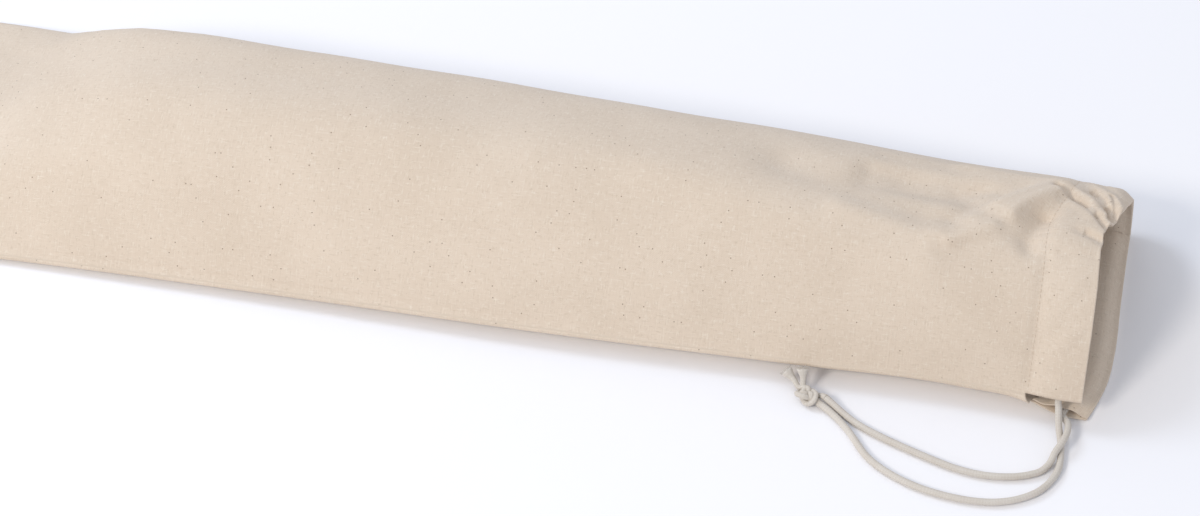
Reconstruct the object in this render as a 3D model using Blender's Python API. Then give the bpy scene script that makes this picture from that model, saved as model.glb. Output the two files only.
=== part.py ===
"""Linen bread bag: a long drawstring pouch lying on its side, open at the mouth.

X runs along the bag, from the closed end (-X) to the mouth (+X).  -Y is the near long edge,
with the side seam and the drawcord, +Y is the folded long edge, and +Z is up.  The origin is
in the middle of the underside of the bag's box.

The cloth is one sheet on a grid.  Its rows go round the bag, each at its own distance from the
closed end, and its columns run along the bag.  Distances round the bag start at the near seam
and go over the top, round the folded edge and back underneath.
"""
import math

import bpy
import numpy as np

# Driving sizes, in metres
LENGTH = 0.66             # closed end to the mouth
GIRTH = 0.332             # all the way round the cloth
HEM = 0.028               # depth of the hem, which is the cord's tunnel
CLOTH = 0.0010            # thickness of the cloth
CORD = 0.0034             # diameter of the drawcord
CORD_FROM_MOUTH = 0.012   # the cord's middle to the mouth's edge
TUNNEL_ROOM = 0.0008      # height of the tunnel beyond the cord's diameter
TUNNEL_WIDTH = 0.0085     # half the width of the tunnel's swelling along the bag
HEM_GAP = 0.0004          # between the hem's two layers at the stitches
GAP = 0.0004              # between two pieces that touch
MM = 0.001

# Rows of the grid: (distance from the closed end, faces up to the next entry), in millimetres
ROW_STEPS = ((0, 2), (16, 10), (186, 12), (460, 23), (632, 7), (660, 0))
# Columns of the grid: (distance round the bag, faces up to the next entry), in millimetres
COLUMN_STEPS = ((0, 6), (58, 16), (138, 8), (204, 10), (332, 0))
SEAM_STEPS = 3            # faces round the turned edge at the near seam
TURN_STEPS = 4            # faces round the fold at the mouth
SECTION_SAMPLES = 240     # points along each cross-section's curve

# The bag's cross-sections, in millimetres: at, from the closed end; then across (y) and up (z).
# near: the sewn edge; rise, brow, crown, slope and far: over the top; fold: the folded edge;
# the two feet: where the cloth leaves the floor; gap and lean: half the parting of the sewn edge,
# upwards and across.
SECTION_COLUMNS = ("at", "near_y", "near_z", "gap", "lean", "rise_y", "rise_z",
                   "brow_y", "brow_z", "crown_y", "crown_z", "slope_y", "slope_z", "far_y", "far_z",
                   "fold_y", "fold_z", "far_foot_y", "near_foot_y")
SECTIONS = np.array([
    (0,   -81.0, 2.0, 1.5, 0, -52, 4.0, -28, 4.4, 0, 4.6, 30, 4.4, 58, 4.0, 81.5, 2.2, 78, -77),
    (50,  -78.5, 2.4, 1.5, 0, -53, 10, -29, 14, -1, 15, 29, 13, 57, 9.4, 80.5, 4.0, 76, -75),
    (90,  -76.5, 2.8, 1.5, 0, -53, 18, -30, 25, -3, 27, 27, 23, 56.5, 14.5, 78.5, 6.5, 74, -73),
    (125, -75.5, 3.4, 1.5, 0, -54, 24, -31, 38, -5, 43, 25, 40, 56, 30, 74.0, 14, 66, -69),
    (160, -75.0, 4.2, 1.5, 0, -55, 28, -31, 47, -7, 54, 23, 52, 55.5, 41, 69.0, 20, 59, -65),
    (250, -74.5, 6.0, 1.5, 0, -56, 31, -31, 53, -8, 62.5, 22.5, 59, 55, 44.5, 67.0, 22, 55, -60),
    (400, -74.5, 9.0, 1.5, 0, -56, 34, -30, 57, -8, 66, 22, 61.5, 51.5, 44.5, 64.5, 23, 53, -58),
    (520, -71.5, 10.5, 1.5, 0, -56, 35, -32, 59, -10, 67.5, 20, 62, 49, 43.5, 63.0, 24, 52, -57),
    (600, -70.5, 12.0, 1.6, 0, -57, 36, -34, 59, -12, 67, 18, 61, 46.5, 40.5, 60.5, 24, 52, -59),
    (630, -71.5, 11.0, 2.6, 0.2, -58, 36, -36, 58.5, -14, 66.5, 16, 61, 45.5, 41, 60.0, 25, 52, -62),
    (646, -73.0, 8.2, 6.6, 0.9, -60, 36, -38, 58, -16, 66.5, 15, 61, 45, 40.5, 59.3, 24.5, 53, -65),
    (655, -73.4, 8.0, 7.3, 1.1, -61, 36, -39, 58, -17, 66.5, 14.5, 60.5, 45, 39.5, 58.8, 24, 53, -66),
    (660, -73.4, 8.0, 7.3, 1.1, -61, 36, -39, 58, -17, 66.5, 13, 59, 41.5, 36.5, 56.5, 22, 53, -66),
])
# Distances round the section at which the points of SECTIONS lie, in millimetres
SECTION_KNOTS = (0, 32, 65, 89, 121, 155, 178, 203, 260, 318, 332)

# How far the mouth's edge reaches beyond its length at each distance round the bag, in millimetres
REACH_ROUND = (0, 60, 86, 98, 106, 118, 140, 165, 204, 250, 285, 306, 320, 332)
REACH = (0, -0.5, -2, -1.5, 1, 4.5, 6.5, 7.5, 7.5, 9, 10.5, 9.5, 6.5, 3)
REACH_START = 0.54        # where this starts to grow along the bag, in metres

# Folds: a soft ridge (height above 0) or trough (below 0) along a straight line from
# (at, round) to (end at, end round), with its width and height, all in millimetres.
FOLDS = np.array([
    (633, 6, 633, 112, 3.4, -0.9),        # the stitches draw the hem in
    (633, 118, 633, 196, 3.4, -0.5),
    (647, 8, 648, 78, 9, 0.9),            # the hem swells over its cord
    (94, 60, 102, 132, 13, -3.0),         # hollow past the end of what fills the bag
    (108, 152, 112, 166, 9, -1.4),
    (138, 148, 156, 152, 13, 1.8),
    (430, 86, 574, 60, 12, 2.2),          # crest between the front and the far slope
    (500, 106, 568, 88, 15, -4.6),        # the far slope is hollow behind it
    (560, 112, 584, 104, 12, -2.6),
    (584, 112, 610, 121, 6, -2.0),        # valley that starts the star
    (582, 74, 594, 85, 6, 2.2),           # the ridge beside it
    (606, 99, 626, 127, 7, 3.2),
    (584, 136, 624, 134, 7, 2.2),
    (622, 80, 629, 100, 6, -3.0),         # hollow in front of the hem
    (615, 80, 623, 97, 7, -1.2),
    (640, 129, 658, 110, 3.6, -1.6),      # groove across the hem
    (648, 90, 659, 86, 3.0, -1.0),
    (638, 29, 652, 41, 4.0, -0.6),
])
# Pleats stand on the outer layer of the hem alone, with the same columns as FOLDS.
PLEATS = np.array([
    (631, 130, 655, 109, 3.2, 2.2),
    (640, 146, 657, 120, 3.4, 2.0),
    (648, 150, 658, 134, 3.6, 1.6),
    (636, 113, 650, 103, 3.0, 0.8),
])

# Routes of the two free cords, in millimetres, from the hem to the knot.  X and Y are measured
# from the middle of the bag's length and the line that its cross-sections are measured from.
ROUTE_FRONT = ((318.8, -74.4, 10.2), (319.6, -78.6, 7.4), (320.7, -83.4, 4.5), (322.4, -88.8, 2.0),
               (323.8, -97.8, 1.8), (323.8, -106.8, 1.8), (321.4, -114.4, 1.8), (317.2, -121.2, 1.8),
               (309.2, -127.8, 1.8), (298.5, -132.4, 1.8), (285.1, -134.2, 1.8), (274.3, -133.7, 1.8),
               (264.3, -132.2, 1.8), (255.0, -129.7, 1.8), (245.9, -126.0, 1.8), (238.0, -121.6, 1.8),
               (231.4, -116.4, 1.8), (226.6, -110.8, 1.8), (222.6, -105.4, 1.8), (217.4, -99.5, 1.8),
               (212.0, -94.5, 1.9), (207.0, -90.8, 2.1), (203.2, -88.6, 2.4))
ROUTE_BACK = ((324.4, -79.4, 4.9), (325.0, -85.0, 5.6), (323.6, -92.2, 5.6), (321.0, -98.4, 4.3),
              (319.2, -104.2, 2.3), (316.2, -108.9, 1.8), (310.0, -112.9, 1.8), (299.0, -116.3, 1.8),
              (288.5, -117.2, 1.8), (276.0, -115.9, 1.8), (264.8, -113.0, 1.8), (255.5, -110.0, 1.8),
              (245.7, -106.7, 1.8), (236.3, -103.2, 1.8), (228.6, -99.9, 1.8), (222.0, -96.4, 1.8),
              (216.2, -92.5, 2.1), (211.0, -88.8, 2.8), (206.4, -86.0, 4.1))
ROUTE_SPACING = 0.0085    # between two points of a cord's tube
STRAIGHT_RUN = 0.0022     # of each cord as it leaves the tunnel
ROUTE_SAMPLES = 400       # points on the smooth curve that a route is read from

# The overhand knot that ties both cords
KNOT_CENTRE = (197.8, -84.6, 4.0)     # millimetres, measured as the routes are
KNOT_SIZE = 1.35          # millimetres for each unit of the knot's curve
KNOT_LIFT = 1.2           # height of its curve, in the same units
KNOT_TURN = math.radians(100)         # of its curve, seen from above
KNOT_CORD = 0.0042        # diameter of the two cords pulled together
KNOT_STEPS = 48           # points round the curve
KNOT_SIDES = 10           # sides of its tube
KNOT_VOXEL = 0.0008       # size of the cells that fuse its turns
STUB_STEPS = 4            # points along each cord's end and each tuft
TUBE_UP = (0.03, 0.02, 1.0)           # no tube of the knot runs this way
# Frayed ends, in millimetres: root, tip and the radius at each
END_TUFTS = (((193.8, -81.4, 5.4), (185.0, -76.7, 8.6), 1.7, 2.7),
             ((195.2, -81.2, 6.4), (193.0, -76.5, 12.8), 1.7, 2.5))

CLOTH_COLOUR = (0.77, 0.68, 0.58, 1)
CORD_COLOUR = (0.74, 0.68, 0.60, 1)


def column(table, names, name):
    """One named column of a table."""
    return table[:, names.index(name)]


def stepped(steps):
    """Distances in metres from a list of (start in millimetres, faces up to the next start)."""
    runs = [np.linspace(a, b, faces + 1)[:-1] for (a, faces), (b, _) in zip(steps[:-1], steps[1:])]
    return np.concatenate(runs + [[steps[-1][0]]]) * MM


def smooth(knots, values, at):
    """Cubic through values (rows) at knots, its tangents taken from the chords on both sides."""
    knots = np.asarray(knots, float)
    values = np.asarray(values, float)
    at = np.asarray(at, float)
    gaps = np.diff(knots).reshape((-1,) + (1,) * (values.ndim - 1))
    chords = np.diff(values, axis=0) / gaps
    inner = (chords[:-1] * gaps[1:] + chords[1:] * gaps[:-1]) / (gaps[:-1] + gaps[1:])
    tangents = np.concatenate([chords[:1], inner, chords[-1:]])
    left = np.clip(np.searchsorted(knots, at, side="right") - 1, 0, len(knots) - 2)
    step = gaps[left]
    t = ((at - knots[left]) / np.diff(knots)[left]).reshape(step.shape)
    return ((2 * t**3 - 3 * t**2 + 1) * values[left] + (t**3 - 2 * t**2 + t) * step * tangents[left]
            + (3 * t**2 - 2 * t**3) * values[left + 1] + (t**3 - t**2) * step * tangents[left + 1])


def ramp(value, start, end):
    """0 up to start, 1 from end, with a soft S between."""
    t = np.clip((value - start) / (end - start), 0, 1)
    return t * t * (3 - 2 * t)


def section(at, shares):
    """Points (y, z) of the cross-section at a distance from the closed end, and its length.

    The curve goes through the table's points, is kept above the floor and is read at shares of
    its own length, because cloth does not stretch round the bag.
    """
    row = smooth(column(SECTIONS, SECTION_COLUMNS, "at"), SECTIONS, [at / MM])[0]
    val = dict(zip(SECTION_COLUMNS, row))
    top = [(val[n + "_y"], val[n + "_z"]) for n in ("rise", "brow", "crown", "slope", "far", "fold")]
    middle = (val["far_foot_y"] + val["near_foot_y"]) / 2
    floor = [(val["far_foot_y"], 0), (middle, 0), (val["near_foot_y"], 0)]
    points = [(val["near_y"] - val["lean"], val["near_z"] + val["gap"])] + top + floor
    points += [(val["near_y"] + val["lean"], val["near_z"] - val["gap"])]
    line = smooth(SECTION_KNOTS, points, np.linspace(0, SECTION_KNOTS[-1], SECTION_SAMPLES)) * MM
    line[:, 1] = np.maximum(line[:, 1], 0)
    length = np.concatenate([[0], np.cumsum(np.linalg.norm(np.diff(line, axis=0), axis=1))])
    share = length / length[-1]
    return np.stack([np.interp(shares, share, line[:, k]) for k in (0, 1)], axis=1), length[-1]


def cloth_grid(rows, shares):
    """The outside of the cloth before its folds, one row of points for each distance in rows."""
    grid = np.zeros((len(rows), len(shares), 3))
    reach = smooth(REACH_ROUND, REACH, shares * GIRTH / MM) * MM
    for j, at in enumerate(rows):
        grid[j, :, 1:] = section(at, shares)[0]
        grid[j, :, 0] = at - LENGTH / 2 + reach * ramp(at, REACH_START, LENGTH)
    return grid


def normals(grid):
    """Unit normals of a grid of points, pointing out of the bag."""
    cross = np.cross(np.gradient(grid, axis=0), np.gradient(grid, axis=1))
    return cross / np.linalg.norm(cross, axis=2, keepdims=True)


def fold_height(table, rows, shares):
    """Height of the folds in a table at every point of the grid, in metres.

    Across a fold the height falls off as a bell of its width, and so it does past its two ends.
    """
    at = (rows / MM)[:, None]
    around = (shares * GIRTH / MM)[None, :]
    height = np.zeros((len(rows), len(shares)))
    for fold_at, fold_round, end_at, end_round, width, tall in table:
        run = np.hypot(end_at - fold_at, end_round - fold_round)
        along = ((at - fold_at) * (end_at - fold_at) + (around - fold_round) * (end_round - fold_round))
        t = np.clip(along / run**2, 0, 1)
        away = np.hypot(at - fold_at - t * (end_at - fold_at),
                        around - fold_round - t * (end_round - fold_round))
        height += tall * np.exp(-(away / width)**2)
    return height * MM


def folded(grid, rows, shares):
    """The grid with FOLDS raised along its normals, and never below the floor."""
    out = grid + normals(grid) * fold_height(FOLDS, rows, shares)[:, :, None]
    out[:, :, 2] = np.maximum(out[:, :, 2], 0)
    return out


def hem_depth(rows):
    """How far the hem's inner layer lies inside the outer one, swelling round the cord."""
    cord_at = LENGTH - CORD_FROM_MOUTH
    flat = 2 * CLOTH + HEM_GAP
    full = 2 * CLOTH + CORD + TUNNEL_ROOM
    bell = np.exp(-((rows - cord_at) / TUNNEL_WIDTH)**4)
    return flat + (full - flat) * bell


class Bag:
    """The grids that the cloth and its cord are made from."""

    def __init__(self):
        self.rows = stepped(ROW_STEPS)
        self.shares = stepped(COLUMN_STEPS) / GIRTH
        self.base = folded(cloth_grid(self.rows, self.shares), self.rows, self.shares)
        self.normal = normals(self.base)
        self.outer = self.base + self.normal * fold_height(PLEATS, self.rows, self.shares)[:, :, None]
        self.hem_row = int(np.argmin(abs(self.rows - (LENGTH - HEM))))
        surface = [self.outer[:-1].reshape(-1, 3)]
        surface += self.mouth_turn(self.inner_hem()) + self.seam_turn()
        surface = np.concatenate(surface)
        middle = (surface.min(axis=0) + surface.max(axis=0)) / 2
        self.origin = np.array([middle[0], middle[1], 0])

    def inner_hem(self):
        """Rows of the hem's inner layer, from the mouth back to the stitches."""
        hem = slice(self.hem_row, -1)
        depth = hem_depth(self.rows[hem])[:, None, None]
        return (self.base[hem] - self.normal[hem] * depth)[::-1]

    def mouth_turn(self, inner):
        """Rows of the half round fold that joins the outer layer to the inner one at the mouth."""
        outer = self.outer[-2]
        middle = (outer + inner[0]) / 2
        across = (outer - inner[0]) / 2
        ahead = self.outer[-1] - outer
        angles = [math.pi * k / TURN_STEPS for k in range(1, TURN_STEPS)]
        return [middle + across * math.cos(a) + ahead * math.sin(a) for a in angles]

    def seam_turn(self):
        """Columns of the turned edge that joins the underside to the top at the near seam."""
        under = self.outer[:self.hem_row + 1, -1]
        over = self.outer[:self.hem_row + 1, 0]
        middle = (under + over) / 2
        across = (under - over) / 2
        radius = np.linalg.norm(across, axis=1)[:, None]
        angles = [math.pi * k / SEAM_STEPS for k in range(1, SEAM_STEPS)]
        outward = np.array([0, -1, 0])
        return [middle + across * math.cos(a) + outward * radius * math.sin(a) for a in angles]

    def cord_line(self):
        """Middle of the cord inside the hem, one point for each column."""
        at = LENGTH - CORD_FROM_MOUTH
        line = self.base - self.normal * (CLOTH + (CORD + TUNNEL_ROOM) / 2)
        left = int(np.searchsorted(self.rows, at, side="right") - 1)
        t = (at - self.rows[left]) / (self.rows[left + 1] - self.rows[left])
        return line[left] * (1 - t) + line[left + 1] * t


def material(name, colour):
    """A plain matt finish."""
    finish = bpy.data.materials.new(name)
    finish.use_nodes = True
    shader = finish.node_tree.nodes["Principled BSDF"]
    shader.inputs["Base Color"].default_value = colour
    shader.inputs["Roughness"].default_value = 0.9
    shader.inputs["Metallic"].default_value = 0.0
    return finish


def add_mesh(name, points, faces, finish):
    """A smooth-shaded object made of points and faces."""
    mesh = bpy.data.meshes.new(name)
    mesh.from_pydata([tuple(p) for p in points], [], faces)
    mesh.update()
    mesh.shade_smooth()
    mesh.materials.append(finish)
    piece = bpy.data.objects.new(name, mesh)
    bpy.context.collection.objects.link(piece)
    return piece


def grid_faces(ids):
    """Four-sided faces between the neighbouring entries of a grid of point numbers."""
    return [(ids[j][i], ids[j + 1][i], ids[j + 1][i + 1], ids[j][i + 1])
            for j in range(len(ids) - 1) for i in range(len(ids[0]) - 1)]


def add_bag(bag, finish):
    """The cloth: the tube with its closed end, the turned near seam and the hem folded inside."""
    inner = bag.inner_hem()
    sheet = np.concatenate([bag.outer[:-1], bag.mouth_turn(inner), inner])
    count = sheet.shape[1]
    ids = np.arange(sheet.shape[0] * count).reshape(sheet.shape[0], count)
    points = list(sheet.reshape(-1, 3))
    faces = grid_faces(ids)

    seam = [list(ids[:bag.hem_row + 1, -1])]
    for strip in bag.seam_turn():
        seam.append(list(range(len(points), len(points) + len(strip))))
        points.extend(strip)
    seam.append(list(ids[:bag.hem_row + 1, 0]))
    faces += grid_faces(np.array(seam).T)

    closed_end = list(ids[0]) + [strip[0] for strip in seam[1:-1]]
    faces.append(closed_end)

    piece = add_mesh("bag", np.array(points) - bag.origin, faces, finish)
    wall = piece.modifiers.new("cloth thickness", "SOLIDIFY")
    wall.thickness = CLOTH
    wall.offset = -1
    return piece


def add_tube(name, route, radius, finish, origin):
    """A round cord through the points of its route, closed at both ends."""
    curve = bpy.data.curves.new(name, "CURVE")
    curve.dimensions = "3D"
    curve.bevel_depth = radius
    curve.bevel_resolution = 2
    curve.use_fill_caps = True
    spline = curve.splines.new("POLY")
    spline.points.add(len(route) - 1)
    for point, place in zip(spline.points, route - origin):
        point.co = (*place, 1)
    curve.materials.append(finish)
    piece = bpy.data.objects.new(name, curve)
    bpy.context.collection.objects.link(piece)
    return piece


def even_route(points, spacing):
    """Points at even distances on a smooth curve through a short route."""
    points = np.asarray(points, float)
    steps = np.linalg.norm(np.diff(points, axis=0), axis=1)
    knots = np.concatenate([[0], np.cumsum(steps)])
    fine = smooth(knots, points, np.linspace(0, knots[-1], ROUTE_SAMPLES))
    run = np.concatenate([[0], np.cumsum(np.linalg.norm(np.diff(fine, axis=0), axis=1))])
    places = np.linspace(0, run[-1], max(2, round(run[-1] / spacing) + 1))
    return np.stack([np.interp(places, run, fine[:, k]) for k in range(3)], axis=1)


def knot_curve():
    """Middle of the doubled cord through the overhand knot.

    It is a trefoil, x = sin t + 2 sin 2t, y = cos t - 2 cos 2t, z = -sin 3t, laid flat and turned.
    """
    t = np.linspace(0, 2 * math.pi, KNOT_STEPS, endpoint=False)
    x = np.sin(t) + 2 * np.sin(2 * t)
    y = np.cos(t) - 2 * np.cos(2 * t)
    z = -KNOT_LIFT * np.sin(3 * t)
    cos, sin = math.cos(KNOT_TURN), math.sin(KNOT_TURN)
    curve = np.stack([x * cos - y * sin, x * sin + y * cos, z], axis=1)
    return (curve * KNOT_SIZE + KNOT_CENTRE) * MM


def tube_mesh(line, radii, ring):
    """Points and faces of a tube along a line, with its own radius at each point.

    A ring closes on itself; any other line gets a cap on both ends.
    """
    ahead = np.roll(line, -1, axis=0) - np.roll(line, 1, axis=0) if ring else np.gradient(line, axis=0)
    ahead /= np.linalg.norm(ahead, axis=1, keepdims=True)
    side = np.cross(ahead, TUBE_UP)
    side /= np.linalg.norm(side, axis=1, keepdims=True)
    over = np.cross(side, ahead)
    angles = (np.arange(KNOT_SIDES) * 2 * math.pi / KNOT_SIDES)[None, :, None]
    spokes = side[:, None] * np.cos(angles) + over[:, None] * np.sin(angles)
    points = line[:, None] + np.asarray(radii)[:, None, None] * spokes
    ids = np.arange(len(line) * KNOT_SIDES).reshape(len(line), KNOT_SIDES)
    ids = np.concatenate([ids, ids[:, :1]], axis=1)
    if ring:
        return points.reshape(-1, 3), grid_faces(np.concatenate([ids, ids[:1]]))
    return points.reshape(-1, 3), grid_faces(ids) + [tuple(ids[0, :-1]), tuple(ids[-1, -2::-1])]


def add_knot(ends, finish, origin):
    """The knot: its closed curve, a stub towards each cord and the two frayed ends, made one."""
    centre = np.array(KNOT_CENTRE) * MM
    tubes = [(knot_curve(), np.full(KNOT_STEPS, KNOT_CORD / 2), True)]
    for end in ends:
        line = np.linspace(end, centre, STUB_STEPS)
        tubes.append((line, np.full(STUB_STEPS, CORD / 2), False))
    for root, tip, thin, thick in END_TUFTS:
        line = np.linspace(np.array(root) * MM, np.array(tip) * MM, STUB_STEPS)
        radii = np.linspace(thin, thick, STUB_STEPS + 1) * MM
        tubes.append((np.concatenate([[centre], line]), radii, False))
    points = np.zeros((0, 3))
    faces = []
    for line, radii, ring in tubes:
        more_points, more_faces = tube_mesh(line, radii, ring)
        faces += [tuple(int(k) + len(points) for k in face) for face in more_faces]
        points = np.concatenate([points, more_points])
    piece = add_mesh("knot", points - origin, faces, finish)
    fuse = piece.modifiers.new("fuse the turns", "REMESH")
    fuse.mode = "VOXEL"
    fuse.voxel_size = KNOT_VOXEL
    return piece


def tail_route(exit_point, outward, route):
    """A free cord's points: straight out of the tunnel, then along its own route."""
    run = np.concatenate([[exit_point + outward * STRAIGHT_RUN], np.array(route) * MM])
    return np.concatenate([[exit_point + outward * GAP], even_route(run, ROUTE_SPACING)])


def main():
    for old in list(bpy.data.objects):
        bpy.data.objects.remove(old, do_unlink=True)
    cloth = material("bag cloth", CLOTH_COLOUR)
    cord = material("drawcord", CORD_COLOUR)

    bag = Bag()
    add_bag(bag, cloth)

    held = bag.cord_line()
    add_tube("cord_in_hem", held, CORD / 2, cord, bag.origin)
    stubs = []
    for name, route, exit_point, before in (("tail_front", ROUTE_FRONT, held[0], held[1]),
                                            ("tail_back", ROUTE_BACK, held[-1], held[-2])):
        outward = (exit_point - before) / np.linalg.norm(exit_point - before)
        line = tail_route(exit_point, outward, route)
        add_tube(name, line, CORD / 2, cord, bag.origin)
        ahead = (line[-1] - line[-2]) / np.linalg.norm(line[-1] - line[-2])
        stubs.append(line[-1] + ahead * GAP)
    add_knot(stubs, cord, bag.origin)


if __name__ == "__main__":
    main()
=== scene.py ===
"""Looks of the linen bread bag: its cloth, sewing, drawcord and knot, on a pale floor.

X runs along the bag to its mouth, -Y is the near long edge with the seam and the drawcord, and
+Z is up, in metres.  The cloth is one sheet worked out on a grid: rows go round the bag and
columns run along it.  Distances round the bag start at the near seam and go over the top.
"""
import math

import bpy
import numpy as np
from mathutils import Matrix, Vector


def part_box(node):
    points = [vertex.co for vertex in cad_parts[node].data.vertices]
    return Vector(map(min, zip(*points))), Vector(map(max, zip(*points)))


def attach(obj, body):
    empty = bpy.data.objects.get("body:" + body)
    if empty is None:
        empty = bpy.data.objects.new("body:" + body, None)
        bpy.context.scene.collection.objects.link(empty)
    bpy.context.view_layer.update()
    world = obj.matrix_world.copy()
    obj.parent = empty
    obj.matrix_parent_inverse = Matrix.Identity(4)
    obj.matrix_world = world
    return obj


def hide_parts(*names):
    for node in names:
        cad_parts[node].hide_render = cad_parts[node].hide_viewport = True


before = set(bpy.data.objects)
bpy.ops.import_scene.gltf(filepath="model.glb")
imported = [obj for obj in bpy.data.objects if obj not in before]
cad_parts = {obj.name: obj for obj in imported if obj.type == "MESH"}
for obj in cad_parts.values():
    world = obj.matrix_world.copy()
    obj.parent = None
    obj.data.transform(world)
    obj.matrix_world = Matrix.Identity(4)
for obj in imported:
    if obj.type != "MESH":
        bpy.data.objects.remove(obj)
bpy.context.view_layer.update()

# ---------------------------------------------------------------- sizes, in metres
MM = 0.001
LENGTH = 0.66             # closed end to the mouth
GIRTH = 0.332             # all the way round the cloth
HEM = 0.028               # depth of the hem, which is the cord's tunnel
CLOTH = 0.0007            # thickness of the cloth
CORD = 0.0034             # diameter of the drawcord
CORD_FROM_MOUTH = 0.012   # the cord's middle to the mouth's edge
CORD_DEPTH = 0.0031       # the cord's middle below the cloth's outside
TUNNEL_DEPTH = 0.0058     # the hem's inner face below its outer one, where it holds the cord
TUNNEL_WIDTH = 0.0085     # half the width of the tunnel's swelling along the bag
HEM_DEPTH = 0.0019        # the same depth at the stitches
GAP = 0.0004              # between two pieces that touch

SECTION_LINE = -0.001     # across, from the line that the sections are measured from to the origin
CURVE_SAMPLES = 1200      # points on a smooth curve before it is read at even distances
NEARLY_UP = (0.03, 0.02, 1.0)         # a direction that no cord starts along

# From the middle of the bag's length, and the line that its sections are measured from,
# to the origin under the middle of the bag's box.
ORIGIN = np.array([-LENGTH / 2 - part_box("bag")[0][0], SECTION_LINE, 0])

# ---------------------------------------------------------------- camera
VIEW_AZIMUTH = math.radians(11.5)
VIEW_ELEVATION = math.radians(48)
VIEW_DISTANCE = 2.7
VIEW_TARGET = np.array([0.07425, -0.0135, 0])
LENS = 162                # millimetres, on a sensor 36 mm wide
NEAR_CLIP = 0.05


def unit(v):
    """The vector or vectors divided by their lengths."""
    return v / np.linalg.norm(v, axis=-1, keepdims=True)


def aim(thing, place, target):
    """Stand a camera or light at a place, turned so that its -Z axis points at the target."""
    turn = Vector(np.subtract(target, place)).to_track_quat("-Z", "Y")
    thing.matrix_world = Matrix.LocRotScale(Vector(place), turn, None)


def add_camera():
    """A level camera: place = target + distance * (sin a cos e, -cos a cos e, sin e)."""
    lens = bpy.data.cameras.new("camera")
    lens.lens = LENS
    lens.clip_start = NEAR_CLIP
    camera = bpy.data.objects.new("camera", lens)
    bpy.context.collection.objects.link(camera)
    a, e = VIEW_AZIMUTH, VIEW_ELEVATION
    back = np.array([math.sin(a) * math.cos(e), -math.cos(a) * math.cos(e), math.sin(e)])
    aim(camera, VIEW_TARGET + VIEW_DISTANCE * back, VIEW_TARGET)
    bpy.context.scene.camera = camera


# ---------------------------------------------------------------- curves and grids
def smooth(knots, values, at):
    """Cubic through values (rows) at knots, its tangents taken from the chords on both sides."""
    knots = np.asarray(knots, float)
    values = np.asarray(values, float)
    at = np.asarray(at, float)
    gaps = np.diff(knots).reshape((-1,) + (1,) * (values.ndim - 1))
    chords = np.diff(values, axis=0) / gaps
    inner = (chords[:-1] * gaps[1:] + chords[1:] * gaps[:-1]) / (gaps[:-1] + gaps[1:])
    tangents = np.concatenate([chords[:1], inner, chords[-1:]])
    left = np.clip(np.searchsorted(knots, at, side="right") - 1, 0, len(knots) - 2)
    step = gaps[left]
    t = ((at - knots[left]) / np.diff(knots)[left]).reshape(step.shape)
    return ((2 * t**3 - 3 * t**2 + 1) * values[left] + (t**3 - 2 * t**2 + t) * step * tangents[left]
            + (3 * t**2 - 2 * t**3) * values[left + 1] + (t**3 - t**2) * step * tangents[left + 1])


def ramp(value, start, end):
    """0 up to start, 1 from end, with a soft S between."""
    t = np.clip((value - start) / (end - start), 0, 1)
    return t * t * (3 - 2 * t)


def stepped(steps):
    """Distances in metres from a list of (start in millimetres, faces up to the next start)."""
    runs = [np.linspace(a, b, faces + 1)[:-1] for (a, faces), (b, _) in zip(steps[:-1], steps[1:])]
    return np.concatenate(runs + [[steps[-1][0]]]) * MM


def run_of(points):
    """Distance along a line of points, from its first one."""
    return np.concatenate([[0], np.cumsum(np.linalg.norm(np.diff(points, axis=0), axis=1))])


def even_line(points, spacing):
    """Points at even distances on the smooth curve through a short list of points."""
    points = np.asarray(points, float)
    knots = run_of(points)
    fine = smooth(knots, points, np.linspace(0, knots[-1], CURVE_SAMPLES))
    run = run_of(fine)
    places = np.linspace(0, run[-1], max(2, round(run[-1] / spacing) + 1))
    return np.stack([np.interp(places, run, fine[:, k]) for k in range(3)], axis=1)


def grid_faces(ids):
    """Four-sided faces between the neighbouring entries of a grid of point numbers."""
    ids = np.asarray(ids)
    corners = [ids[:-1, :-1], ids[1:, :-1], ids[1:, 1:], ids[:-1, 1:]]
    return np.stack(corners, axis=-1).reshape(-1, 4)


def closed_tubes(points):
    """Points and faces of tubes with closed ends, from an array of (tube, ring, side, 3)."""
    count, rings, sides, _ = points.shape
    ids = np.arange(rings * sides).reshape(rings, sides)
    one = grid_faces(np.concatenate([ids, ids[:, :1]], axis=1)).tolist()
    one += [ids[0].tolist(), ids[-1, ::-1].tolist()]
    faces = [[k + n * ids.size for k in face] for n in range(count) for face in one]
    return points.reshape(-1, 3), faces


def add_mesh(name, points, faces, finish, uv=None):
    """A smooth-shaded piece of points and faces, with one (u, v) for each point if uv is given."""
    mesh = bpy.data.meshes.new(name)
    faces = [tuple(int(k) for k in face) for face in faces]
    mesh.from_pydata(np.asarray(points).tolist(), [], faces)
    mesh.update()
    mesh.shade_smooth()
    mesh.materials.append(finish)
    if uv is not None:
        corner_points = np.empty(len(mesh.loops), dtype=np.int32)
        mesh.loops.foreach_get("vertex_index", corner_points)
        layer = mesh.uv_layers.new(name="cloth")
        layer.data.foreach_set("uv", np.asarray(uv)[corner_points].astype(np.float32).ravel())
    piece = bpy.data.objects.new(name, mesh)
    bpy.context.collection.objects.link(piece)
    return piece


def join(parts):
    """Points, faces and (u, v) of several meshes put into one list each."""
    points, faces, uv, count = [], [], [], 0
    for part_points, part_faces, part_uv in parts:
        points.append(part_points)
        faces += [tuple(int(k) + count for k in face) for face in part_faces]
        uv.append(part_uv)
        count += len(part_points)
    return np.concatenate(points), faces, np.concatenate(uv)


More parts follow.
